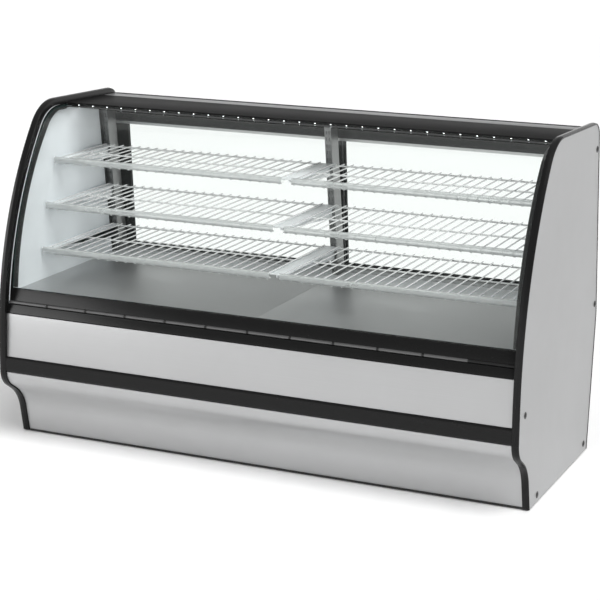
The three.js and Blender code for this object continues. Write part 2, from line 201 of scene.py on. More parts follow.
def glassEdge(name):
    material, graph, shader = newFinish(name, {"Roughness": 0.2, "IOR": 1.52})
    depth = cloud(graph, grainPoint(graph), 30.0, 3.0)
    baseTint(graph, shader, depth, (0.008, 0.020, 0.018, 1), (0.02, 0.045, 0.04, 1))
    return material


def litLens(name, glow):
    material, graph, shader = newFinish(name, {"Base Color": (0.85, 0.87, 0.88, 1), "Roughness": 0.4,
                                                "Emission Strength": glow})
    ribs = graph.add("ShaderNodeTexWave", {"bands_direction": "X"},
                     {"Vector": grainPoint(graph), "Scale": 160.0})
    graph.feed(shader.inputs["Emission Color"], tint(graph, ribs, (0.86, 0.93, 1.0, 1), (1.0, 1.0, 0.98, 1)))
    relief(graph, shader, ribs, 0.0002, 0.4)
    return material


finishes = dict(
    panelSteel=brushedSteel("brushedSteelUpright", (900, 900, 2.2), 0.43),
    frontSteel=brushedSteel("brushedSteelLengthwise", (2.2, 1100, 1100), 0.48),
    kickSteel=brushedSteel("brushedSteelKick", (2.2, 1100, 1100), 0.51, 0.44),
    deckSteel=brushedSteel("brushedSteelDeck", (2.2, 1100, 1100), 0.52),
    black=powderCoat("glossBlackCoat", 0.006, 0.20, shine=0.22),
    roofBlack=powderCoat("roofBlackCoat", 0.016, 0.42, shine=0.12, bend=1.15),
    frameBlack=powderCoat("blackAnodised", 0.010, 0.36, shine=0.25),
    liner=powderCoat("paleLiner", 0.76, 0.40, 0.035, shine=0.25),
    white=powderCoat("whiteEnamel", 0.78, 0.30, 0.02, shine=0.5),
    rubber=rubberCompound("blackRubber"),
    aluminium=drawnAluminium("drawnAluminium"),
    postGrey=drawnAluminium("postAluminium", 0.27, 0.36),
    hinge=drawnAluminium("hingeAluminium", 0.15, 0.36),
    zinc=galvanisedSheet("galvanisedSheet"),
    wire=platedWire("platedWire"),
    glass=clearSheet("clearGlass", (0.80, 0.90, 0.88, 1), 0.004, 0.10),
    edge=glassEdge("polishedGlassEdge"),
    strip=clearSheet("clearStrip", (0.66, 0.67, 0.675, 1), 0.30, 1.0, 0.10),
    lens=clearSheet("lampLens", (0.10, 0.10, 0.11, 1), 0.30, 0.5, 0.10),
    light=litLens("lightPoint", 5.0),
    plastic=powderCoat("mouldedBlack", 0.02, 0.30),
)
print("finishes made:", len(finishes))


# mesh helpers
def addPiece(name, mesh, finish):
    mesh.materials.clear()
    for item in finish if isinstance(finish, (list, tuple)) else [finish]:
        mesh.materials.append(finishes[item])
    piece = bpy.data.objects.new(name, mesh)
    bpy.context.scene.collection.objects.link(piece)
    return piece


def smoothUpTo(mesh, degrees=20):
    for face in mesh.polygons:
        face.use_smooth = True
    mesh.set_sharp_from_angle(angle=math.radians(degrees))


def meshFrom(name, points, faces, degrees=20):
    shell = bmesh.new()
    corners = [shell.verts.new(p) for p in points]
    for face in faces:
        shell.faces.new([corners[i] for i in face])
    bmesh.ops.recalc_face_normals(shell, faces=shell.faces)
    bmesh.ops.triangulate(shell, faces=[f for f in shell.faces if len(f.verts) > 4], ngon_method="EAR_CLIP")
    mesh = bpy.data.meshes.new(name)
    shell.to_mesh(mesh)
    shell.free()
    smoothUpTo(mesh, degrees)
    return mesh


def loopFaces(rows, count, wrap=None):
    # quads between one ring of points and the next; wrap closes the rings on themselves
    return [[a * count + i, a * count + (i + 1) % count, b * count + (i + 1) % count, b * count + i]
            for a in range(rows) for b in [(a + 1) % (wrap or rows + 1)] for i in range(count)]


def ringMesh(name, rings, degrees=20):
    # closed rings of equal count, skinned one to the next and capped
    count = len(rings[0])
    points = [p for ring in rings for p in ring]
    faces = loopFaces(len(rings) - 1, count)
    faces += [list(range(count))[::-1], [(len(rings) - 1) * count + i for i in range(count)]]
    return meshFrom(name, points, faces, degrees)


def applied(piece):
    # swaps the piece's mesh for what its modifiers make of it
    made = bpy.data.meshes.new_from_object(piece.evaluated_get(bpy.context.evaluated_depsgraph_get()))
    piece.modifiers.clear()
    piece.data = made
    return piece


def place(piece, body, nodeNames=()):
    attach(piece, body)
    if nodeNames:
        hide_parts(*nodeNames)
    return piece


def softened(node, finish, body, edge=0.0008, segments=2):
    # the CAD solid with its folds and corners rounded as sheet and extrusions are
    shell = bmesh.new()
    shell.from_mesh(nodes[node].data)
    bmesh.ops.remove_doubles(shell, verts=shell.verts, dist=1e-5)
    bmesh.ops.dissolve_limit(shell, angle_limit=math.radians(0.5), verts=shell.verts, edges=shell.edges)
    mesh = bpy.data.meshes.new(node + "Mesh")
    shell.to_mesh(mesh)
    shell.free()
    piece = addPiece(node + "_made", mesh, finish)
    bevel = piece.modifiers.new("roundedEdges", "BEVEL")
    bevel.width, bevel.segments, bevel.limit_method = edge, segments, "ANGLE"
    bevel.angle_limit = math.radians(20)
    applied(piece)
    smoothUpTo(piece.data, 20)
    return place(piece, body, [node])


def arc(cy, cz, radius, start, stop, steps, outward=1):
    turns = [math.radians(start + (stop - start) * i / steps) for i in range(steps + 1)]
    return [(cy + radius * cos, cz + radius * sin, outward * cos, outward * sin)
            for cos, sin in [(math.cos(a), math.sin(a)) for a in turns]]


def filletCentre(cy, cz, bigRadius, radius, top):
    z = top - radius
    y = cy - math.sqrt((bigRadius - radius) ** 2 - (z - cz) ** 2)
    return y, z, 180 - math.degrees(math.atan2(z - cz, cy - y))


caseShape = dict(front=-0.448, rear=0.448, rearLean=0.087, rearFoot=0.391, rearBend=0.500, rearTop=1.208,
                 height=1.219, faceLow=0.273, faceHigh=0.380, bow=1.300, shoulder=0.170, corner=0.060,
                 chin=0.082,
                 hollow=0.140, chinTurn=56, kickLean=12, chinRun=0.035, floorGap=0.005, fine=3)


def caseOutline():
    s = caseShape
    bowY, bowZ = s["front"] + s["bow"], s["faceHigh"]
    topY, topZ, topTurn = filletCentre(bowY, bowZ, s["bow"], s["shoulder"], s["height"])
    cos, sin = math.cos(math.radians(s["chinTurn"])), math.sin(math.radians(s["chinTurn"]))
    chinY, chinZ = s["front"] + s["chin"], s["faceLow"]
    lowY = chinY - s["chin"] * cos + s["chinRun"] * sin
    lowZ = chinZ - s["chin"] * sin - s["chinRun"] * cos
    path = arc(lowY - s["hollow"] * cos, lowZ - s["hollow"] * sin, s["hollow"], s["kickLean"], s["chinTurn"],
               8 * s["fine"], -1)
    path += arc(chinY, chinZ, s["chin"], 180 + s["chinTurn"], 180, 8 * s["fine"])
    path += arc(bowY, bowZ, s["bow"], 180, topTurn, 16 * s["fine"])
    path += arc(topY, topZ, s["shoulder"], topTurn, 90, 8 * s["fine"])[1:]
    rearTurn, cornerZ = math.atan(s["rearLean"]), s["rearTop"] - s["corner"]
    cornerY = s["rear"] - s["corner"] / math.cos(rearTurn) - (cornerZ - s["rearBend"]) * s["rearLean"]
    path += arc(cornerY, cornerZ, s["corner"], 90, math.degrees(rearTurn), 6 * s["fine"])
    lean = math.radians(s["kickLean"])
    toeY = path[0][0] + (path[0][1] - s["floorGap"]) * math.tan(lean)
    path.insert(0, (toeY, s["floorGap"], -1 / math.cos(lean), 0))
    path += [(s["rear"], s["rearBend"], 1 / math.cos(rearTurn), 0), (s["rearFoot"], s["floorGap"], 1, 0)]
    return path


def leant(y, z):
    # what stands on the leaning rear is drawn upright, then leant forward about the bend
    return y - (z - caseShape["rearBend"]) * caseShape["rearLean"]


glassShape = dict(radius=1.0144, cy=0.617, cz=0.4893, top=1.189, shoulder=0.140, thick=0.006, low=0.551,
                  endY=0.004, halfWidth=0.9517, steps=64)


def glassOutline(low=None):
    s = glassShape
    y, z, turn = filletCentre(s["cy"], s["cz"], s["radius"], s["shoulder"], s["top"])
    start = 180 - math.degrees(math.asin(((low or s["low"]) - s["cz"]) / s["radius"]))
    path = arc(s["cy"], s["cz"], s["radius"], start, turn, s["steps"])
    path += arc(y, z, s["shoulder"], turn, 90, s["steps"] // 3)[1:]
    return path + [(s["endY"], s["top"], 0, 1)]


def sweep(name, section, path, degrees=20):
    # section is (x, depth in from the path) pairs round a closed shape
    rings = [[(x, y - ny * d, z - nz * d) for x, d in section] for y, z, ny, nz in path]
    return ringMesh(name, rings, degrees)


def alongX(name, outline, x0, x1, degrees=20):
    return ringMesh(name, [[(x, y, z) for y, z in outline] for x in (x0, x1)], degrees)


def rounded(points, radius, steps=4):
    # the outline with each corner turned into a small arc
    made = []
    for i, corner in enumerate(points):
        here = Vector(corner)
        before, after = Vector(points[i - 1]) - here, Vector(points[(i + 1) % len(points)]) - here
        reach = min(radius, before.length * 0.45, after.length * 0.45)
        a, b = here + before.normalized() * reach, here + after.normalized() * reach
        for k in range(steps + 1):
            t = k / steps
            made.append(tuple((1 - t) ** 2 * a + 2 * t * (1 - t) * here + t ** 2 * b))
    return made


# geometry node trees
def newTree(name, sockets):
    tree = bpy.data.node_groups.new(name, "GeometryNodeTree")
    tree.interface.new_socket("Geometry", in_out="INPUT", socket_type="NodeSocketGeometry")
    for label, kind, value in sockets:
        socket = tree.interface.new_socket(label, in_out="INPUT", socket_type="NodeSocket" + kind)
        if value is not None:
            socket.default_value = value
    tree.interface.new_socket("Geometry", in_out="OUTPUT", socket_type="NodeSocketGeometry")
    graph = Graph(tree)
    given = graph.add("NodeGroupInput")
    return tree, graph, given


def endTree(graph, geometry, given):
    whole = graph.add("GeometryNodeRealizeInstances", values={0: geometry})
    done = graph.add("GeometryNodeSetMaterial", values={"Geometry": whole, "Material": given.out("Material")})
    graph.add("NodeGroupOutput", values={0: done})


def grown(name, seedMesh, tree, inputs, finish, degrees=40):
    # runs a tree on the seed mesh and keeps the result as a plain mesh
    piece = bpy.data.objects.new(name, seedMesh)
    bpy.context.scene.collection.objects.link(piece)
    modifier = piece.modifiers.new("made", "NODES")
    modifier.node_group = tree
    byName = {item.name: item.identifier for item in tree.interface.items_tree if item.in_out == "INPUT"}
    for label, value in {**inputs, "Material": finishes[finish]}.items():
        modifier[byName[label]] = value
    applied(piece)
    smoothUpTo(piece.data, degrees)
    return piece


def rowTree():
    # repeats what it is given along a line
    tree, graph, given = newTree("evenRow", [("Count", "Int", 10), ("Step", "Vector", (0.04, 0, 0)),
                                             ("Material", "Material", None)])
    line = graph.add("GeometryNodeMeshLine", {"mode": "OFFSET"}, {"Count": given.out("Count"),
                                                                  "Offset": given.out("Step")})
    many = graph.add("GeometryNodeInstanceOnPoints",
                     values={"Points": line, "Instance": given.out("Geometry")})
    endTree(graph, many, given)
    return tree


def wireRowTree():
    # turns one bent line into a round wire and repeats it along a line
    tree, graph, given = newTree("wireRow", [("Count", "Int", 25), ("Step", "Vector", (0.038, 0, 0)),
                                             ("Radius", "Float", 0.0025), ("Sides", "Int", 8),
                                             ("Material", "Material", None)])
    bent = graph.add("GeometryNodeMeshToCurve", values={"Mesh": given.out("Geometry")})
    ring = graph.add("GeometryNodeCurvePrimitiveCircle", values={"Resolution": given.out("Sides"),
                                                                  "Radius": given.out("Radius")})
    wire = graph.add("GeometryNodeCurveToMesh",
                     values={"Curve": bent, "Profile Curve": ring, "Fill Caps": True})
    line = graph.add("GeometryNodeMeshLine", {"mode": "OFFSET"}, {"Count": given.out("Count"),
                                                                  "Offset": given.out("Step")})
    many = graph.add("GeometryNodeInstanceOnPoints", values={"Points": line, "Instance": wire})
    endTree(graph, many, given)
    return tree


def buttonTree():
    # a washer with a domed head on every point, facing the way it is told
    tree, graph, given = newTree("buttonScrews", [
        ("Radius", "Float", 0.010), ("Height", "Float", 0.003), ("Turn", "Vector", (0, 0, 0)),
        ("Material", "Material", None)])
    radius, height = given.out("Radius"), given.out("Height")
    washer = graph.add("GeometryNodeMeshCone", values={"Vertices": 28, "Radius Bottom": radius,
                                                       "Radius Top": radius * 0.86, "Depth": height * 0.45})
    head = graph.add("GeometryNodeMeshCone", values={
        "Vertices": 28, "Side Segments": 1, "Radius Bottom": radius * 0.62, "Radius Top": radius * 0.40,
        "Depth": height * 0.55})
    up = graph.add("ShaderNodeCombineXYZ", values={"Z": height * 0.45})
    raised = graph.add("GeometryNodeTransform", values={"Geometry": head, "Translation": up})
    both = graph.add("GeometryNodeJoinGeometry")
    for part in (washer, raised):
        graph.tree.links.new(part.socket, both.socket.node.inputs[0])
    many = graph.add("GeometryNodeInstanceOnPoints", values={
        "Points": given.out("Geometry"), "Instance": both, "Rotation": given.out("Turn")})
    endTree(graph, many, given)
    return tree


evenRow, wireRow, buttonScrews = rowTree(), wireRowTree(), buttonTree()


def pointMesh(name, points):
    mesh = bpy.data.meshes.new(name)
    mesh.from_pydata(points, [], [])
    return mesh


def lineMesh(name, points):
    mesh = bpy.data.meshes.new(name)
    mesh.from_pydata(points, [(i, i + 1) for i in range(len(points) - 1)], [])
    return mesh


def joined(name, pieces, degrees=20):
    # several made pieces of one body and finish as a single mesh
    whole = bmesh.new()
    for piece in pieces:
        whole.from_mesh(piece.data)
    mesh = bpy.data.meshes.new(name)
    whole.to_mesh(mesh)
    whole.free()
    for item in pieces[0].data.materials:
        mesh.materials.append(item)
    for piece in pieces:
        bpy.data.objects.remove(piece)
    smoothUpTo(mesh, degrees)
    made = bpy.data.objects.new(name, mesh)
    bpy.context.scene.collection.objects.link(made)
    return made


# camera, floor and lamps
cameraSet = dict(aim=(0, 0.017, 0.759), azimuth=24.26, elevation=12.6, roll=0.40, distance=6.606, focal=1845,
                 lift=-0.1)


def makeCamera(s):
    data = bpy.data.cameras.new("camera")
    camera = bpy.data.objects.new("camera", data)
    bpy.context.scene.collection.objects.link(camera)
    bpy.context.scene.camera = camera
    a, e = math.radians(s["azimuth"]), math.radians(s["elevation"])
    back = Vector((math.sin(a) * math.cos(e), -math.cos(a) * math.cos(e), math.sin(e)))
    camera.rotation_mode = "QUATERNION"
    camera.rotation_quaternion = (-back).to_track_quat("-Z", "Y")
    camera.rotation_quaternion = (camera.rotation_quaternion.to_matrix() @
                                  Matrix.Rotation(math.radians(s["roll"]), 3, "Z")).to_quaternion()
    camera.location = Vector(s["aim"]) + back * s["distance"]
    data.sensor_width, data.lens = 36, s["focal"] * 36 / 600
    data.shift_y = s["lift"]
    data.clip_end = 60


studio = dict(sky=1.0, floorLevel=0.95, sun=dict(toward=(0.50, -0.30, 0.80), strength=2.5, spread=40),
              bands=[(0.0, 1.25), (0.08, 1.25), (0.30, 0.42), (0.75, 0.32), (1.0, 0.60)],
              lamps=[dict(name="leftLamp", at=(-5.0, -3.2, 2.0), size=2.4, power=70)],
              caseLamp=dict(at=(0, 0.055, 1.172), length=1.84, width=0.03, power=1.1))


def makeStudio(s):
    world = bpy.data.worlds.new("studio")
    bpy.context.scene.world = world
    world.use_nodes = True
    graph = Graph(world.node_tree)
    up = graph.add("ShaderNodeTexCoord", out="Generated")
    height = graph.add("ShaderNodeSeparateXYZ", values={0: up}, out="Z")
    ramp = graph.add("ShaderNodeValToRGB", {"stops": [(at, grey(level)) for at, level in s["bands"]]},
                     {0: height})
    back = world.node_tree.nodes["Background"]
    graph.feed(back.inputs["Color"], ramp)
    back.inputs["Strength"].default_value = s["sky"]
    mesh = meshFrom("studioFloor", [(-14, -14, 0), (14, -14, 0), (14, 14, 0), (-14, 14, 0)], [(0, 1, 2, 3)])
    floor = bpy.data.objects.new("studioFloor", mesh)
    bpy.context.scene.collection.objects.link(floor)
    material, inner, shader = newFinish("paleFloor", {"Roughness": 0.8})
    dust = cloud(inner, grainPoint(inner), 1.5, 4.0)
    baseTint(inner, shader, dust, grey(s["floorLevel"]), grey(s["floorLevel"] + 0.03))
    mesh.materials.append(material)
    data = bpy.data.lights.new("softSun", "SUN")
    data.energy, data.angle = s["sun"]["strength"], math.radians(s["sun"]["spread"])
    sun = bpy.data.objects.new("softSun", data)
    bpy.context.scene.collection.objects.link(sun)
    sun.rotation_euler = Vector(s["sun"]["toward"]).to_track_quat("Z", "Y").to_euler()
    for lamp in s["lamps"]:
        data = bpy.data.lights.new(lamp["name"], "AREA")
        data.size, data.energy = lamp["size"], lamp["power"]
        made = bpy.data.objects.new(lamp["name"], data)
        bpy.context.scene.collection.objects.link(made)
        made.location = lamp["at"]
        made.rotation_euler = (Vector((0, 0, 0.7)) - Vector(lamp["at"])).to_track_quat("-Z", "Y").to_euler()
    own = s["caseLamp"]
    data = bpy.data.lights.new("caseLamp", "AREA")
    data.shape, data.size, data.size_y, data.energy = "RECTANGLE", own["length"], own["width"], own["power"]
    made = bpy.data.objects.new("caseLamp", data)
    bpy.context.scene.collection.objects.link(made)
    made.location = own["at"]
    made.visible_camera = made.visible_glossy = False


makeCamera(cameraSet)
makeStudio(studio)
bpy.context.scene.view_settings.view_transform = "Standard"
print("camera and studio set")


# end panels
endSet = dict(inner=0.9565, outer=0.9815, lipIn=0.0265, lipOut=0.007, lip=0.0012, skin=0.003, slope=0.00185,
              screwX=0.9803, screwRadius=0.012, screwHeight=0.0036,
              screws=[(0.366, 1.110), (0.418, 0.540), (-0.380, 0.355), (-0.216, 0.030), (0.345, 0.036)])

borderSet = dict(face=0.9528, back=0.9522, near=0.0268, far=0.0470, low=0.515, reach=0.1, endY=0.004)


def trimSection(s, side):
    # two shallow slopes that meet at a rounded ridge, with a lip down each side
    w = s["outer"] - s["inner"]
    half = [(0, 0.0034), (0.0003, 0.0027), (0.0010, 0.0021), (0.0021, s["slope"]), (w / 2 - 0.0030, 0.00042),
            (w / 2 - 0.0017, 0.00018), (w / 2 - 0.0007, 0.00003)]
    across = [(0, s["lipIn"])] + half + [(w / 2, 0)] + [(w - u, d) for u, d in reversed(half)]
    lip, skin = s["lip"], s["skin"]
    across += [(w, s["lipOut"]), (w - lip, s["lipOut"]), (w - lip, skin), (lip, skin), (lip, s["lipIn"])]
    return [(side * (s["inner"] + u), d) for u, d in across]


for sideName, side in (("left", -1), ("right", 1)):
    nodes[sideName + "_end_panel"].material_slots[0].material = finishes["panelSteel"]
    nodes[sideName + "_end_liner"].material_slots[0].material = finishes["liner"]
    ring = sweep(sideName + "Trim", trimSection(endSet, side), caseOutline(), 24)
    trim = addPiece(sideName + "_trim_made", ring, "black")
    place(trim, "cabinet", [sideName + "_end_trim"])
    at = [(side * endSet["screwX"], y, z) for y, z in endSet["screws"]]
    # black border that hides the liner's edge along the glass
    face, back = side * borderSet["face"], side * borderSet["back"]
    near, far = borderSet["near"], borderSet["far"]
    along = [p for p in caseOutline() if p[1] > borderSet["low"] and p[0] < borderSet["reach"]]
    border = sweep(sideName + "Border", [(face, near), (back, near), (back, far), (face, far)],
                   along + [(borderSet["endY"], caseShape["height"], 0, 1)])
    place(addPiece(sideName + "_glass_border", border, "black"), "cabinet")
    turn = (0, side * math.pi / 2, 0)
    heads = grown(sideName + "_panel_screws", pointMesh(sideName + "Points", at), buttonScrews,
                  {"Radius": endSet["screwRadius"], "Height": endSet["screwHeight"], "Turn": turn},
                  "plastic", 24)
    place(heads, "cabinet")
print("end panels done")

# base and front
kickSet = dict(half=0.9562, inset=0.008, skin=0.002, low=0.0095, top=0.266)
bumperSet = dict(half=0.9562, outline=[(-0.430, 0.267), (-0.4385, 0.267), (-0.4430, 0.2705), (-0.4450, 0.280),
                                       (-0.4455, 0.2955), (-0.4450, 0.311), (-0.4430, 0.3205),
                                       (-0.4385, 0.324), (-0.430, 0.324)])


def kickMesh(s):
    path = [p for p in caseOutline() if p[0] < 0 and p[1] < s["top"] + 0.02]
    outer = [(y - ny * s["inset"], z - nz * s["inset"]) for y, z, ny, nz in path[1:]]
    lean = math.tan(math.radians(caseShape["kickLean"]))
    low = (outer[0][0] + (outer[0][1] - s["low"]) * lean, s["low"])
    outer = [low] + [p for p in outer if p[1] < s["top"]] + [(caseShape["front"] + s["inset"], s["top"])]
    normals = []
    for i, p in enumerate(outer):
        a, b = outer[max(i - 1, 0)], outer[min(i + 1, len(outer) - 1)]
        run = Vector((b[0] - a[0], b[1] - a[1])).normalized()
        normals.append((run.y, -run.x))
    inner = [(y + ny * s["skin"], z + nz * s["skin"]) for (y, z), (ny, nz) in zip(outer, normals)]
    return alongX("kickPanel", outer + inner[::-1], -s["half"], s["half"])


place(addPiece("kick_panel_made", kickMesh(kickSet), "kickSteel"), "cabinet", ["kick_panel"])
bumper = alongX("bumper", rounded(bumperSet["outline"], 0.004, 4), -bumperSet["half"], bumperSet["half"], 40)
place(addPiece("bumper_made", bumper, "black"), "cabinet", ["bumper_rail"])
softened("base_floor", "zinc", "cabinet")
softened("kick_strip", "rubber", "cabinet")
softened("front_panel", "frontSteel", "cabinet", 0.0012, 3)
softened("sill_rail", "black", "cabinet", 0.0012, 3)

footSet = dict(pad=0.024, stem=0.006, turns=26, threadLow=0.019, threadHigh=0.069, pitch=0.0022, depth=0.0006)


def footMesh(s, x, y):
    profile = [(0.0, 0.0), (s["pad"] - 0.001, 0.0), (s["pad"], 0.001), (s["pad"], 0.0045),
               (s["pad"] - 0.0015, 0.006), (0.0135, 0.0095), (0.0105, 0.011), (0.0105, 0.0165),
               (0.0095, 0.0175), (s["stem"], 0.0178)]
    z = s["threadLow"]
    for turn in range(int((s["threadHigh"] - z) / s["pitch"])):
        profile += [(s["stem"] - s["depth"], z), (s["stem"], z + s["pitch"] / 2)]
        z += s["pitch"]
    profile += [(s["stem"] - 0.001, 0.0698), (0.0, 0.070)]
    count = s["turns"]
    rings = [[(x + r * math.cos(i * math.tau / count), y + r * math.sin(i * math.tau / count), h)
              for i in range(count)] for r, h in profile[1:-1]]
    return ringMesh("foot", rings, 30)


for number, (body, x, y) in enumerate([("foot_front_left", -0.85, -0.23), ("foot_front_right", 0.85, -0.23),
                                       ("foot_rear_left", -0.85, 0.32), ("foot_rear_right", 0.85, 0.32)], 1):
    foot = addPiece(f"foot_{number}_made", footMesh(footSet, x, y), "rubber")
    place(foot, body, [f"foot_{number}"])
print("base and front done")

# rear panel and switch
softened("rear_panel", "frontSteel", "cabinet", 0.0010, 2)
softened("switch_rocker", "plastic", "light_switch", 0.0012, 3)
rearSet = dict(y=0.4461, screwX=[-0.94, -0.47, 0.0, 0.47, 0.94], screwZ=0.535, radius=0.006, height=0.0026,
               bezel=(-0.88, 0.528, 0.021, 0.0185))
screwZ = rearSet["screwZ"]
at = [(x, leant(rearSet["y"], screwZ), screwZ) for x in rearSet["screwX"]]
rearScrews = grown("rear_panel_screws", pointMesh("rearPoints", at), buttonScrews,
                   {"Radius": rearSet["radius"], "Height": rearSet["height"], "Turn": (-math.pi / 2, 0, 0)},
                   "aluminium", 24)
place(rearScrews, "cabinet")


def bezelMesh(s):
    # a thin frame round the rocker, open in the middle
    x, z, w, h = s["bezel"]
    loops = []
    for grow, y in ((1.0, 0.0), (1.0, 0.0010), (0.93, 0.0015), (0.0, 0.0015), (0.0, 0.0)):
        halfW, halfH = (w * grow, h * grow) if grow else (0.0150, 0.0135)
        flat = rounded([(-halfW, -halfH), (halfW, -halfH), (halfW, halfH), (-halfW, halfH)],
                       0.003 if grow else 0.0008, 4)
        loops.append([(x + u, leant(s["y"] + y, z + v), z + v) for u, v in flat])
    count = len(loops[0])
    points = [p for loop in loops for p in loop]
    return meshFrom("bezel", points, loopFaces(len(loops), count, len(loops)), 30)


place(addPiece("switch_bezel", bezelMesh(rearSet), "plastic"), "cabinet")
print("rear panel done")

# deck
softened("deck_floor", "white", "cabinet", 0.0008, 2)
for sideName in ("left", "right"):
    softened(sideName + "_deck_pan", "deckSteel", "cabinet", 0.0045, 4)
print("deck done")

# posts
postSet = dict(halfWidth=0.013, foot=0.339, footZ=0.560, lean=0.15, depth=0.063, wall=0.003, low=0.5603,
               high=1.167, pitch=0.0254,
               slotWidth=0.0034, slotHeight=0.0135, slotX=0.0055)


def postFront(z):
    return postSet["foot"] - (z - postSet["footZ"]) * postSet["lean"]


def postMesh(s, x):
    # front face with two columns of real slots, folded back into side walls
    xs = [-s["halfWidth"], -s["slotX"] - s["slotWidth"] / 2, -s["slotX"] + s["slotWidth"] / 2,
          s["slotX"] - s["slotWidth"] / 2, s["slotX"] + s["slotWidth"] / 2, s["halfWidth"]]
    count = int((s["high"] - s["low"] - 0.02) / s["pitch"])
    zs = [s["low"]]
    for i in range(count):
        zs += [s["low"] + 0.012 + i * s["pitch"], s["low"] + 0.012 + i * s["pitch"] + s["slotHeight"]]
    zs.append(s["high"])
    shell = bmesh.new()
    grid = {}
    spots = [(-s["halfWidth"], s["depth"])] + [(u, 0.0) for u in xs] + [(s["halfWidth"], s["depth"])]
    for c, (u, y) in enumerate(spots):
        for r, z in enumerate(zs):
            grid[c, r] = shell.verts.new((x + u, postFront(z) + y, z))
    for c in range(len(spots) - 1):
        for r in range(len(zs) - 1):
            if c in (2, 4) and r % 2 == 1:
                continue
            shell.faces.new([grid[c, r], grid[c + 1, r], grid[c + 1, r + 1], grid[c, r + 1]])
    mesh = bpy.data.meshes.new("post")
    shell.to_mesh(mesh)
    shell.free()
    return mesh


for postName, x in (("left", -0.9399), ("centre", 0.0), ("right", 0.9399)):
    post = addPiece(postName + "_post_made", postMesh(postSet, x), "postGrey")
    wall = post.modifiers.new("wall", "SOLIDIFY")
    wall.thickness, wall.offset, wall.use_even_offset = postSet["wall"], -1.0, True
    applied(post)
    smoothUpTo(post.data, 20)
    place(post, "cabinet", [postName + "_post"])
edgeSet = dict(face=0.9528, thick=0.003, near=0.015, far=0.003, low=0.5605, high=1.166)
for sideName, side in (("left", -1), ("right", 1)):
    # a thin dark strip against the liner, just in front of each end post
    s, rings = edgeSet, []
    for z in (s["low"], s["high"]):
        inner = s["face"] - s["thick"]
        flat = [(s["face"], s["near"]), (inner, s["near"]), (inner, s["far"]), (s["face"], s["far"])]
        rings.append([(side * x, postFront(z) - back, z) for x, back in flat])
    strip = addPiece(sideName + "_liner_edge", ringMesh("linerEdge", rings), "frameBlack")
    place(strip, "cabinet")
print("posts done")

# shelves
tiers = [dict(z=1.001, y=-0.105), dict(z=0.842, y=-0.170), dict(z=0.679, y=-0.200)]
for tier in tiers:
    tier["rear"] = postFront(tier["z"]) - 0.004
shelfSet = dict(inner=0.0185, outer=0.945, wire=0.0026, rail=0.0032, count=25, drop=0.0165, hook=0.0085)


def shelfPiece(s, tier, sideName, side, number):
    x0, x1 = sorted((side * s["inner"], side * s["outer"]))
    top, front = tier["z"] - s["wire"], tier["y"] + 0.0045
    name = f"{sideName}_shelf_{number}"
    inset = 0.006
    step = (x1 - x0 - 2 * inset - s["hook"]) / (s["count"] - 1)
    bend = [(x0 + inset, tier["rear"] - 0.002, top)]
    bend += [(x0 + inset, front + 0.004 - 0.004 * math.sin(a), top - 0.004 + 0.004 * math.cos(a))
             for a in [math.radians(t) for t in range(0, 91, 18)]]
    # the end of each wire drops behind the strip and turns back up in a small hook
    hook = s["hook"] / 2
    bend += [(x0 + inset + hook - hook * math.cos(a), front, top - s["drop"] + hook - hook * math.sin(a))
             for a in [math.radians(t) for t in range(0, 181, 30)]]
    bend.append((x0 + inset + 2 * hook, front, top - s["drop"] + hook + 0.004))
    cross = grown(name + "_cross", lineMesh("cross", bend), wireRow,
                  {"Count": s["count"], "Step": (step, 0, 0), "Radius": s["wire"]}, "wire")
    parts = [cross]
    below = top - s["wire"] - s["rail"] * 0.86
    ys = [front + 0.030, (front + tier["rear"]) / 2, tier["rear"] - 0.012]
    rails = [(y, below, s["rail"]) for y in ys]
    # the last rail runs along the inside of the hooks
    rails.append((front + s["wire"] + s["rail"] * 0.85, top - s["drop"] + 0.0045, s["rail"] * 0.8))
    for k, (y, z, radius) in enumerate(rails):
        parts.append(grown(f"{name}_rail{k}", lineMesh("rail", [(x0 + 0.001, y, z), (x1 - 0.001, y, z)]),
                           wireRow, {"Count": 1, "Radius": radius, "Sides": 10}, "wire"))
    return joined(name + "_made", parts, 40)


stripSet = dict(wall=0.0018)


def stripMesh(s, tier, x0, x1):
    # a rounded clear channel that hooks over the front wires and curls back under them
    y, z = tier["y"] - 0.002, tier["z"] + 0.006
    centre = [(0.0105, -0.0010), (0.0060, 0.0), (0.0030, -0.0004), (0.0012, -0.0022), (0.0006, -0.0060),
              (0.0004, -0.0120), (0.0006, -0.0185), (0.0016, -0.0225), (0.0040, -0.0245), (0.0075, -0.0245),
              (0.0090, -0.0225)]
    out, back = [], []
    for i, (u, v) in enumerate(centre):
        a, b = centre[max(i - 1, 0)], centre[min(i + 1, len(centre) - 1)]
        run = Vector((b[0] - a[0], b[1] - a[1])).normalized()
        out.append((y + u, z + v))
        back.append((y + u - run.y * s["wall"], z + v + run.x * s["wall"]))
    return alongX("strip", out + back[::-1], x0, x1, degrees=40)


for number, tier in enumerate(tiers, 1):
    for sideName, side in (("left", -1), ("right", 1)):
        shelf = shelfPiece(shelfSet, tier, sideName, side, number)
        place(shelf, "cabinet", [f"{sideName}_shelf_{number}"])
        x0, x1 = sorted((side * (shelfSet["inner"] + 0.001), side * (shelfSet["outer"] - 0.001)))
        strip = addPiece(f"{sideName}_strip_{number}_made", stripMesh(stripSet, tier, x0, x1), "strip")
        place(strip, "cabinet", [f"{sideName}_ticket_strip_{number}"])
    for where in ("left", "centre", "right"):
        softened(f"{where}_bracket_{number}", "white", "cabinet", 0.0007, 2)
print("shelves done")

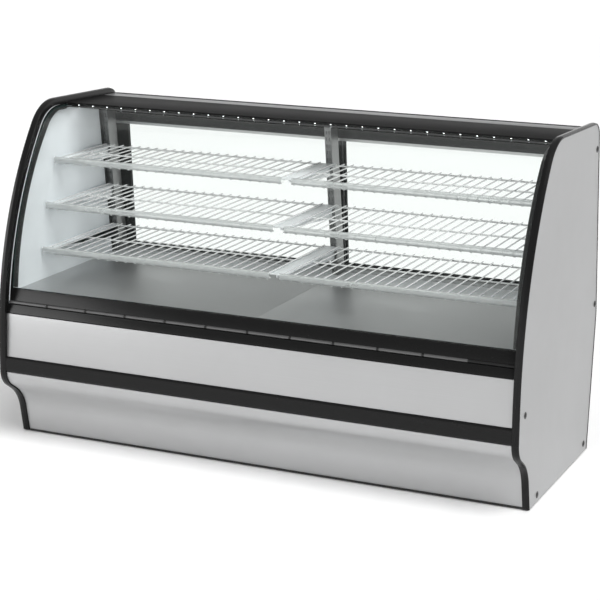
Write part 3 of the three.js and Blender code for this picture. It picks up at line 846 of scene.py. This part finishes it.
# roof and light
softened("top_panel", "roofBlack", "cabinet", 0.0010, 3)
softened("top_rear_strip", "frontSteel", "cabinet", 0.0010, 3)
beadSet = dict(half=0.9515, outline=[(0.3670, 1.1838), (0.3678, 1.1862), (0.3695, 1.1868), (0.3715, 1.1860),
                                    (0.3722, 1.1825)])
bead = alongX("roofBead", rounded(beadSet["outline"], 0.0006, 2), -beadSet["half"], beadSet["half"], 40)
place(addPiece("roof_rear_bead", bead, "rubber"), "cabinet")
softened("rear_header", "roofBlack", "cabinet", 0.0010, 3)
softened("led_bar", "frameBlack", "cabinet", 0.0006, 2)
softened("led_lens", "lens", "cabinet", 0.0010, 3)
lightSet = dict(count=31, pitch=0.060, wide=0.0030, tall=0.0008, deep=0.0008, y=0.0044, z=1.1870)
carrierSet = dict(half=0.930, outline=[(0.0044, 1.1845), (0.0058, 1.1845), (0.0058, 1.1895),
                                       (0.0044, 1.1895)])
carrier = alongX("lightCarrier", carrierSet["outline"], -carrierSet["half"], carrierSet["half"])
place(addPiece("light_carrier", carrier, "frameBlack"), "cabinet")


def pointLightMesh(s):
    # one small lens, facing forward
    rings, sides = 4, 12
    x0 = (s["count"] - 1) * s["pitch"] / 2
    loops = []
    for r in range(rings):
        a = math.radians(84 * r / (rings - 1))
        loops.append([(s["wide"] * math.cos(a) * math.cos(i * math.tau / sides) - x0,
                       s["y"] - s["deep"] * math.sin(a),
                       s["z"] + s["tall"] * math.cos(a) * math.sin(i * math.tau / sides))
                      for i in range(sides)])
    return ringMesh("lightPoint", loops, 60)


points = grown("light_points", pointLightMesh(lightSet), evenRow,
               {"Count": lightSet["count"], "Step": (lightSet["pitch"], 0, 0)}, "light", 60)
place(points, "cabinet")
print("roof and light done")

clipSet = dict(half=0.951, outline=[(0.4064, 1.0682), (0.4064, 1.0785), (0.4073, 1.0785), (0.4073, 1.0689),
                                   (0.4095, 1.0689), (0.4095, 1.0682)])
clip = alongX("headerClip", [(leant(y, z), z) for y, z in clipSet["outline"]],
              -clipSet["half"], clipSet["half"])
place(addPiece("header_clip", clip, "aluminium"), "cabinet")

# rear doors
softened("lower_track", "aluminium", "cabinet", 0.0005, 2)
softened("upper_track", "aluminium", "cabinet", 0.0005, 2)
doorSet = dict(pull=dict(width=0.018, height=0.150, deep=0.0016, z=0.80))


def pullMesh(s, x, y):
    # a shallow dished finger pull with a raised rim
    loops = []
    for grow, lift in ((1.0, 0.0), (0.97, 1.0), (0.86, 1.0), (0.78, 0.25), (0.45, 0.12)):
        w, h = s["width"] * grow / 2, s["height"] / 2 - s["width"] / 2 * (1 - grow)
        flat = rounded([(-w, -h), (w, -h), (w, h), (-w, h)], w * 0.98, 6)
        loops.append([(x + u, leant(y + s["deep"] * lift, s["z"] + v), s["z"] + v) for u, v in flat])
    return ringMesh("pull", loops, 40)


for sideName, x, y in (("left", -0.924, 0.4275), ("right", 0.924, 0.4455)):
    body = sideName + "_door"
    softened(sideName + "_door_frame", "frameBlack", body, 0.0012, 3)
    softened(sideName + "_door_glass", "glass", body, 0.0006, 2)
    pull = addPiece(sideName + "_door_pull", pullMesh(doorSet["pull"], x, y + 0.0001), "aluminium")
    place(pull, body)
print("doors done")

# tilting front glass
softened("glass_rail", "black", "front_glass", 0.0012, 3)
softened("hinge_pin", "frameBlack", "cabinet", 0.0006, 2)
hingeSet = dict(y=-0.414, z=0.524, radius=0.0060, length=0.150, gap=0.009, halfWidth=0.948)


def knuckleMesh(s):
    sides, x0 = 18, -s["halfWidth"]
    rings = [[(x, s["y"] + r * math.cos(i * math.tau / sides), s["z"] + r * math.sin(i * math.tau / sides))
              for i in range(sides)]
             for x, r in ((x0, s["radius"] - 0.0006), (x0 + 0.0006, s["radius"]),
                          (x0 + s["length"] - 0.0006, s["radius"]), (x0 + s["length"], s["radius"] - 0.0006))]
    return ringMesh("knuckle", rings, 30)


step = hingeSet["length"] + hingeSet["gap"]
count = int((2 * hingeSet["halfWidth"] + hingeSet["gap"]) / step)
knuckles = grown("hinge_knuckles", knuckleMesh(hingeSet), evenRow, {"Count": count, "Step": (step, 0, 0)},
                 "hinge", 30)
place(knuckles, "cabinet")


def curvedGlass(s):
    w, t, c = s["halfWidth"], s["thick"], 0.0008
    section = [(-w + c, 0), (w - c, 0), (w, c), (w, t - c), (w - c, t), (-w + c, t), (-w, t - c), (-w, c)]
    mesh = sweep("curvedGlass", section, glassOutline(), 20)
    piece = addPiece("curved_glass_made", mesh, ["glass", "edge"])
    for face in mesh.polygons:  # the ground edges show green
        if abs(face.center.x) > w - 2 * c or face.center.z < s["low"] + 0.0001:
            face.material_index = 1
    return piece


place(curvedGlass(glassShape), "front_glass", ["curved_glass"])
sealSet = dict(near=0.0063, far=0.0093, width=0.0176, inset=0.0004, low=0.574, top=(-0.009, 0.0035))


def sealPiece(s):
    made = []
    for side in (-1, 1):
        outer = glassShape["halfWidth"] - s["inset"]
        a, b = side * outer, side * (outer - s["width"])
        section = rounded([(a, s["near"]), (b, s["near"]), (b, s["far"]), (a, s["far"])], 0.0008, 2)
        made.append(addPiece("seal", sweep("seal", section, glassOutline(s["low"]), 30), "rubber"))
    y0, y1 = s["top"]
    z0, z1 = glassShape["top"] - s["far"] + 0.0004, glassShape["top"] - s["near"] - 0.0004
    half = glassShape["halfWidth"] - 0.006
    bar = alongX("seal", rounded([(y0, z0), (y1, z0), (y1, z1), (y0, z1)], 0.0008, 2), -half, half)
    made.append(addPiece("seal", bar, "rubber"))
    return joined("glass_seal_made", made, 30)


place(sealPiece(sealSet), "front_glass", ["glass_gasket"])
print("front glass done")
